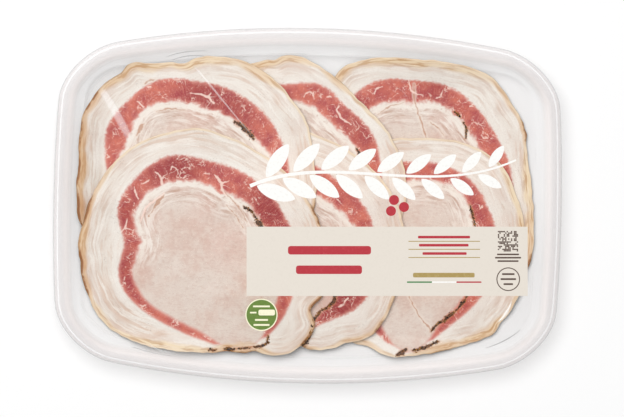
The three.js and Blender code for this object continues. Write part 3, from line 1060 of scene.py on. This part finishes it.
seam_gap = from_line("seams", 1.0, 1.8)
vein_gap = from_line("veins", 1.0, 1.4)
herb_gap = from_line("herbs", 2.0, 1.8)
colour = meat.lay(
    colour,
    (meat.step(seam_gap, 1.4, 0.3), 0.5, "e6d8cb"),
    (meat.step(seam_gap, 0.4, -0.2), 0.65, "ad7048"),
    (meat.step(vein_gap, 0.35, -0.15), 0.8, "efd3c6"),
    (meat.step(herb_gap, 1.1, 0.2), 0.5, "b4702f"),
)
crumb_colour = meat.two_tone(meat.cells(0.7, "Color"), 0.3, 0.7, "1a0902", "683a10")
colour = meat.mix(meat.times(meat.step(herb_gap, 0.38, 0.0), 0.95), colour, crumb_colour)
meat.tally("lines")

# %% Paint the slices
meat.set(Base_Color=colour, Roughness=0.45, IOR=1.33, Specular_IOR_Level=0.3)
meat.bump(meat.clouds(0.8, detail=3), 0.1, 0.4)
for slice_name, sheet in sheets.items():
    parts = [f"{slice_name}_{layer}" for layer in LAYERS]
    finish_piece(sheet, f"porchetta_{slice_name}", meat.material, parts)

# %% [markdown]
# ## Herbs
#
# The trails of crushed herbs are painted on the meat, but the crumbs themselves stand up from it.
# Each is a flat chip with a few corners, laid on the highest slice under it. There are hundreds of
# them, so they are worked out as one mesh, at their true size.

# %% One chip
CHIP_SIZE = (0.2, 0.5)  # radius in millimetres
CHIP_STRETCH = (1, 2.2)  # length over width
CHIP_RAGGED = (0.6, 1)  # how far out its corners lie
CHIP_TOP = 0.7  # size of the top face, the lower one being 1
CHIP_CORNERS = 6
CHIP_THICK = 0.16 * MM
draw = np.random.default_rng(11)


def chip(place, normal):
    """The corners of one flat crumb: the ring that lies on the meat, and the smaller ring on top."""
    side = normal.orthogonal().normalized()
    other = normal.cross(side)
    turn = draw.uniform(0, 2 * math.pi)
    stretch = draw.uniform(*CHIP_STRETCH)
    size = draw.uniform(*CHIP_SIZE) * MM
    low, high = [], []
    for corner in range(CHIP_CORNERS):
        way = 2 * math.pi * corner / CHIP_CORNERS
        far = size * draw.uniform(*CHIP_RAGGED)
        u, v = far * stretch * math.cos(way), far * math.sin(way)
        across = u * math.cos(turn) - v * math.sin(turn)
        along = u * math.sin(turn) + v * math.cos(turn)
        offset = side * across + other * along
        low.append(place + offset - normal * CHIP_THICK / 2)
        high.append(place + offset * CHIP_TOP + normal * CHIP_THICK)
    return low + high


def chip_faces(first):
    """The faces over a chip's corners, which start at number first."""
    low = [first + k for k in range(CHIP_CORNERS)]
    high = [corner + CHIP_CORNERS for corner in low]
    sides = [(low[k - 1], low[k], high[k], high[k - 1]) for k in range(CHIP_CORNERS)]
    return [tuple(reversed(low)), tuple(high), *sides]


print("faces of a chip:", len(chip_faces(0)))

# %% Scatter the herbs
CHIP_STEP = 0.22  # millimetres of a trail for each chip
SCATTER = 0.42  # of a trail's width
MARGIN = 0.3  # millimetres added to a trail's width
CLUMP = 1.8 * MM  # size of the clumps and gaps along a trail
GAP_UNDER = -0.08  # noise under which a trail has a gap


def surface_at(x, y):
    """The highest slice's surface under a point, and the way that it faces."""
    best = None
    for sheet in sheets.values():
        hit, place, normal, _ = sheet.ray_cast(Vector((x, y, RIM)), DOWN)
        if hit and (best is None or place.z > best[0].z):
            best = (place, normal)
    return best


bpy.context.view_layer.update()
corners, faces = [], []
for _, *pixels in HERBS:
    trail = np.array([on_pack(x, y) for x, y, _ in pixels])
    widths = [width for _, _, width in pixels]
    lengths = np.append(0, np.cumsum(np.hypot(*np.diff(trail, axis=0).T))) / MM
    for along in np.arange(0, lengths[-1], CHIP_STEP):
        spot = np.array([np.interp(along, lengths, trail[:, axis]) for axis in (0, 1)])
        spot += draw.normal(0, SCATTER, 2) * (np.interp(along, lengths, widths) + MARGIN) * MM
        found = surface_at(*spot)
        if found and noise.noise(Vector((*spot, 0)) / CLUMP) > GAP_UNDER:
            faces += chip_faces(len(corners))
            corners += chip(*found)
herb_mesh = bpy.data.meshes.new("herb_crumbs")
herb_mesh.from_pydata(corners, [], faces)
herbs = bpy.data.objects.new("herb_crumbs", herb_mesh)
bpy.context.collection.objects.link(herbs)
print("herb chips:", len(corners) // (2 * CHIP_CORNERS))

# %% Herb colours
herb = Recipe("dark_herbs")
kinds = herb.node("ShaderNodeSeparateXYZ", {0: herb.cells(0.9, "Color")}).outputs
herb_colour = herb.two_tone(kinds[0], 0.3, 0.5, "1c0a02", "4c2a08")
herb_colour = herb.lay(herb_colour, (herb.step(kinds[1], 0.65, 0.8), 1, "9c6a2a"))
herb.set(Base_Color=herb_colour, Roughness=0.8, IOR=1.4, Specular_IOR_Level=0.05)
finish_piece(herbs, "herb_crumbs", herb.material)

# %% [markdown]
# ## The film
#
# The film's node is already right: a thin flat sheet on the rim. It only needs to be clear. What
# makes a real film visible is where it isn't flat: a few long creases and small wrinkles at the seal
# catch the light. Each is a strip of a grid, bent along a smooth curve and raised a little in its
# middle, and its white is a painted highlight that fades out towards its edges. One more strip is a
# painted glint of the tray's wall. The strips throw no shadow, as a crease in clear film is seen by
# its shine alone.

# %% Clear film
film = Recipe("lidding_film")
film.set(Base_Color=tone("ffffff"), Roughness=0.06, IOR=1.45)
film.see_through(0.01)
paint_node("lid_film", film.material)
FILM_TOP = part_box("lid_film")[1].z

# %% Strips along a curve
CREASE_STEPS = 32


def smooth_curve(points, steps):
    """Points along a smooth curve that runs from the first to the last and bends to the others."""
    t = np.linspace(0, 1, steps)[:, None]
    last = len(points) - 1
    pulls = [math.comb(last, k) * t**k * (1 - t) ** (last - k) for k in range(last + 1)]
    return sum(pull * np.array(point) for pull, point in zip(pulls, points))


def strip_along(points, widths, rows, base, ridge):
    """A strip of a grid along a smooth curve on the pack, and where each vertex is on it."""
    curve = smooth_curve([in_picture(*point) for point in points], CREASE_STEPS + 1)
    ways = np.gradient(curve, axis=0)
    ways /= np.hypot(*ways.T)[:, None]
    bpy.ops.mesh.primitive_grid_add(x_subdivisions=CREASE_STEPS, y_subdivisions=rows, size=1)
    strip = bpy.context.object
    along, across = (np.array([v.co[:2] for v in strip.data.vertices]) + 0.5).T
    across = 2 * across - 1
    step = np.round(along * CREASE_STEPS).astype(int)
    width = np.interp(along, np.linspace(0, 1, len(widths)), widths) * MM
    side = np.stack([-ways[step, 1], ways[step, 0]], axis=1)
    flat = curve[step] + side * (across * width / 2)[:, None]
    height = base + ridge * (1 - across**2)
    strip.data.vertices.foreach_set("co", np.column_stack([flat, height]).ravel())
    return strip, along, across


print("points along a curve:", CREASE_STEPS + 1)

# %% Creases and a glint, as painted highlights
# The points that pull each strip into shape in the photograph, its width in mm along the way, and
# how much its painted highlight shines
GLARE_STRIPS = (
    (((100, 88.5), (108, 98), (118, 116), (132, 143)), (3.4, 4.2, 4.6, 4.4, 3.4), 0.17),
    (((193, 65), (207, 80), (228, 108), (256, 140)), (1.2, 1.3, 0.9, 0.3), 0.16),
    # not a crease: a painted glint of the tray's wall
    (((512, 300), (508, 314), (497, 323)), (0.4, 2.0, 0.4), 0.4),
    (((166, 57), (184, 50), (208, 51)), (0.2, 0.6, 0.2), 0.3),
    (((172, 60), (188, 54), (204, 56)), (0.2, 0.5, 0.2), 0.3),
    (((148, 343), (158, 353), (180, 353)), (0.2, 0.6, 0.2), 0.4),
    (((133, 347), (150, 353), (172, 356)), (0.2, 0.5, 0.2), 0.4),
    (((520, 330), (508, 341), (486, 348)), (0.2, 0.5, 0.2), 0.3),
)
CREASE_ROWS = 6
CREASE_RIDGE = 0.12 * MM
CREASE_THICK = 0.02 * MM
CREASE_FADE = 0.15  # of the length, over which each end fades out

glare_strips = []
for points, widths, shine in GLARE_STRIPS:
    base = FILM_TOP + CREASE_THICK
    glare_strip, along, across = strip_along(points, widths, CREASE_ROWS, base, CREASE_RIDGE)
    ends = np.clip(np.minimum(along, 1 - along) / CREASE_FADE, 0, 1)
    put_attribute(glare_strip.data, "glare", "FLOAT", shine * ends * (1 - across**4))
    apply_modifier(glare_strip, "SOLIDIFY", thickness=CREASE_THICK, offset=-1)
    glare_strips.append(glare_strip)
only(*glare_strips)
bpy.ops.object.join()
glare_strips = bpy.context.object
print("creases:", len(GLARE_STRIPS))


# %% Turn what was drawn in the picture onto the pack
def turn_onto_pack(thing, height=0):
    """Gives a piece made along the picture's sides the pack's own small turn, and its height."""
    apply_place(thing)
    thing.rotation_euler = (0, 0, TURN)
    thing.location = (0, 0, height)
    apply_place(thing)


turn_onto_pack(glare_strips)
# The strips are white where they are solid: painted highlights of the creases and of the tray's glint
glare = Recipe("film_glare")
glare.set(Base_Color=tone("ffffff"), Roughness=0.2, IOR=1.45)
glare.see_through(glare.times(glare.attribute("glare").outputs["Fac"], 0.9))
finish_piece(glare_strips, "film_glare_strips", glare.material)
glare_strips.visible_shadow = False

# %% [markdown]
# ## The print
#
# The pack's print is ink on the film: a beige panel with rows of plain bars, and a round green
# badge. Every shape starts as a flat plane, circle or grid along the picture's sides. They are
# joined by colour, turned onto the pack and given the thickness of ink. In the photograph the print
# throws hardly any shadow on the meat under it, so here it throws none.

# %% Ink shapes
INK = 0.03 * MM
CORNER = 0.3  # radius of a bar's corners, of its smaller side
DISC_SIDES = 64


def cover(thing, x0, y0, x1, y1):
    """Stretches a flat primitive of size 1 over this part of the picture. Returns its sides."""
    left, top = in_picture(x0, y0)
    right, bottom = in_picture(x1, y1)
    thing.location = ((left + right) / 2, (top + bottom) / 2, 0)
    thing.scale = (right - left, top - bottom, 1)
    apply_place(thing)
    return right - left, top - bottom


def ink_bar(*ends):
    """A flat bar with rounded corners over this part of the picture."""
    bpy.ops.mesh.primitive_plane_add(size=1)
    bar = bpy.context.object
    radius = CORNER * min(cover(bar, *ends))
    in_edit_mode(bar, lambda: bpy.ops.mesh.bevel(offset=radius, segments=4, affect="VERTICES"))
    return bar


def ink_disc(x, y, radius):
    """A flat disc around this pixel, its radius in pixels."""
    size = {"vertices": DISC_SIDES, "radius": radius * PIXEL}
    bpy.ops.mesh.primitive_circle_add(fill_type="NGON", location=(*in_picture(x, y), 0), **size)
    return bpy.context.object


def ink_ring(x, y, radius, width):
    """A flat ring: a disc whose face is inset, and the inner face deleted."""
    ring = ink_disc(x, y, radius)
    in_edit_mode(
        ring,
        lambda: bpy.ops.mesh.inset(thickness=width * PIXEL),
        lambda: bpy.ops.mesh.delete(type="FACE"),
    )
    return ring


print("a pixel of ink:", round(PIXEL / MM, 3), "mm wide and", round(INK / MM, 3), "mm thick")


# %% Ink and its colours
def print_ink(shapes, base, name, paint):
    """Joins flat shapes into one print that rests at this height on the pack."""
    only(*shapes)
    if len(shapes) > 1:
        bpy.ops.object.join()
    printed = bpy.context.object
    turn_onto_pack(printed, base)
    apply_modifier(printed, "SOLIDIFY", thickness=INK, offset=1)
    printed.visible_shadow = False
    finish_piece(printed, name, paint)


def ink_paint(name, code, shade):
    """Matt ink that is a little thinner here and there."""
    paint = Recipe(name)
    ink_colour = paint.two_tone(paint.clouds(1.2, detail=3), 0.45, 0.8, code, shade)
    paint.set(Base_Color=ink_colour, Roughness=0.55, IOR=1.4)
    return paint.material


paint_node("label_panel", ink_paint("beige_ink", "ddd5ca", "dad2c7"))
paint_node("round_badge", ink_paint("green_ink", "5d7a28", "69852f"))
for node_name in ("label_panel", "round_badge"):
    nodes[node_name].visible_shadow = False
PANEL_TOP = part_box("label_panel")[1].z
red_ink = ink_paint("red_ink", "b01a2c", "b92e3c")
gold_ink = ink_paint("gold_ink", "a48c4e", "b09a62")
brown_ink = ink_paint("brown_ink", "4c372b", "5d483c")
green_stripe_ink = ink_paint("leaf_green_ink", "2f7a3c", "3f8549")
white_ink = ink_paint("white_ink", "f2f1ee", "e9e7e3")
pale_ink = ink_paint("pale_yellow_ink", "f2eecf", "e8e6c2")

# %% Rows and lines on the panel
# Each bar by its left, top, right and bottom in the picture
LARGE_ROWS = ((288, 246, 371, 254.5), (296, 265.5, 362, 274))
SMALL_ROWS = ((418, 235.8, 470, 238.4), (419, 243.9, 468.5, 246.5), (422.5, 252.2, 466.6, 254.8))
GOLD_ROW = (413, 272.8, 474.6, 277.4)
GOLD_LINES = tuple((408.4, y - 0.4, 480, y + 0.4) for y in (241.3, 249.3, 257.5))
GREEN_STRIPE = (407, 281.4, 432, 282.8)
WHITE_STRIPE = (432, 281.4, 456.4, 282.8)
RED_STRIPE = (456.4, 281.4, 481.4, 282.8)


def print_bars(rows, name, paint):
    """Prints bars of one colour on the panel."""
    print_ink([ink_bar(*row) for row in rows], PANEL_TOP, name, paint)


print_bars((*LARGE_ROWS, *SMALL_ROWS, RED_STRIPE), "panel_red_print", red_ink)
print_bars((*GOLD_LINES, GOLD_ROW), "panel_gold_print", gold_ink)
print_bars((GREEN_STRIPE,), "panel_green_print", green_stripe_ink)
print_bars((WHITE_STRIPE,), "panel_white_print", white_ink)

# %% [markdown]
# At the right end of the panel are a patterned square and a ring. The pattern is a made-up one: the
# cells of a grid are inset one by one, and about half of them are kept at random.

# %% Patterned square and ring
TINY_ROWS = ((497, 253.6, 519, 255.2), (495, 256.9, 521, 258.5), (497.5, 260.3, 518.5, 261.9))
SQUARE = (497.8, 230.9, 518.1, 251.6)
SQUARE_CELLS = 14
CELL_GAP = 0.03 * MM
CELLS_KEPT = 0.55
RING = (508.2, 279.2, 11.8)  # its middle and its radius
RING_WIDTH = 1.0
RING_ROWS = ((502, 273.2, 514.5, 275), (500.5, 278.2, 516, 280), (503.5, 283.2, 513, 285))


def ink_cells(cells, *ends):
    """A square of cells over this part of the picture, some of them kept."""
    bpy.ops.mesh.primitive_grid_add(x_subdivisions=cells, y_subdivisions=cells, size=1)
    pattern = bpy.context.object
    cover(pattern, *ends)
    in_edit_mode(pattern, lambda: bpy.ops.mesh.inset(thickness=CELL_GAP, use_individual=True))
    for face in pattern.data.polygons:
        face.select = not (face.select and draw.random() < CELLS_KEPT)
    bpy.context.tool_settings.mesh_select_mode = (False, False, True)
    bpy.ops.object.mode_set(mode="EDIT")
    bpy.ops.mesh.delete(type="FACE")
    bpy.ops.object.mode_set(mode="OBJECT")
    bpy.context.tool_settings.mesh_select_mode = (True, False, False)
    return pattern


brown_shapes = [ink_bar(*row) for row in (*TINY_ROWS, *RING_ROWS)]
brown_shapes += [ink_cells(SQUARE_CELLS, *SQUARE), ink_ring(*RING, RING_WIDTH)]
print_ink(brown_shapes, PANEL_TOP, "panel_brown_print", brown_ink)

# %% Marks on the badge
BADGE = (261.5, 314.8, 16.1)  # its middle and its radius
BADGE_RIM = 1.1
BADGE_ROWS = (
    (253, 305.5, 270, 307.2),
    (250, 311.8, 256.5, 313.4),
    (258.5, 309.6, 275, 315.4),
    (255, 319, 268, 320.8),
    (253.5, 324, 269.5, 325.8),
)
print_ink([ink_ring(*BADGE, BADGE_RIM)], PANEL_TOP, "badge_rim", pale_ink)
badge_bars = [ink_bar(*row) for row in BADGE_ROWS]
print_ink(badge_bars, PANEL_TOP, "badge_print", pale_ink)

# %% [markdown]
# ## A sprig on the film
#
# Above the panel the film carries a plain white sprig: one leaf is a circle drawn out to two points,
# copied along both sides of a bent stem, with three red berries.

# %% One leaf
LEAF_SIDES = 32
LEAF_WIDTH = 0.38  # of its length
LEAF_POINT = 1.5  # 1 leaves it an ellipse, and more draws its ends out
bpy.ops.mesh.primitive_circle_add(vertices=LEAF_SIDES, radius=1, fill_type="NGON")
leaf = bpy.context.object
for vertex in leaf.data.vertices:
    x, y, _ = vertex.co
    vertex.co = ((x + 1) / 2, math.copysign(abs(y) ** LEAF_POINT, y) * LEAF_WIDTH / 2, 0)
print("a leaf's corners:", len(leaf.data.vertices))

# %% Sprig
STEM = ((250, 186), (330, 150), (430, 200), (516, 160))
STEM_WIDTHS = (1.8, 1.3, 0.9)
STEM_STEPS = 200
TIP = 196  # the stem's last step that may carry a leaf
LEAF_PAIRS = 9
STAGGER = 0.22  # how far a pair's leaves stand apart along the stem, of the way to the next pair
LEAF_LENGTH = (20, 12)  # millimetres, from the foot of the stem to its tip
LEAF_GAP = 1.3 * MM  # from the stem's middle to a leaf's foot
LEAN_OUT = math.radians(40)  # between a leaf and the stem

stem_line = smooth_curve([in_picture(*point) for point in STEM], STEM_STEPS)
sprig = [strip_along(STEM, STEM_WIDTHS, 1, 0, 0)[0]]
for pair in range(LEAF_PAIRS):
    for side in (-1, 1):
        share = (pair + 0.5 + STAGGER * side) / (LEAF_PAIRS + 0.5)
        foot = int(share * TIP)
        way = stem_line[foot + 2] - stem_line[foot]
        gap = LEAF_GAP * side / math.hypot(*way)
        only(leaf)
        bpy.ops.object.duplicate()
        twin = bpy.context.object
        twin.location = (stem_line[foot][0] - way[1] * gap, stem_line[foot][1] + way[0] * gap, 0)
        twin.rotation_euler = (0, 0, math.atan2(way[1], way[0]) + side * LEAN_OUT)
        twin.scale = (float(np.interp(share, (0, 1), LEAF_LENGTH)) * MM,) * 3
        sprig.append(twin)
only(leaf)
bpy.ops.object.delete()
print_ink(sprig, FILM_TOP, "sprig_print", white_ink)

# %% Berries
BERRIES = ((394, 200, 5), (404, 207, 5), (391, 211, 5))
print_ink([ink_disc(*berry) for berry in BERRIES], FILM_TOP, "berry_print", red_ink)
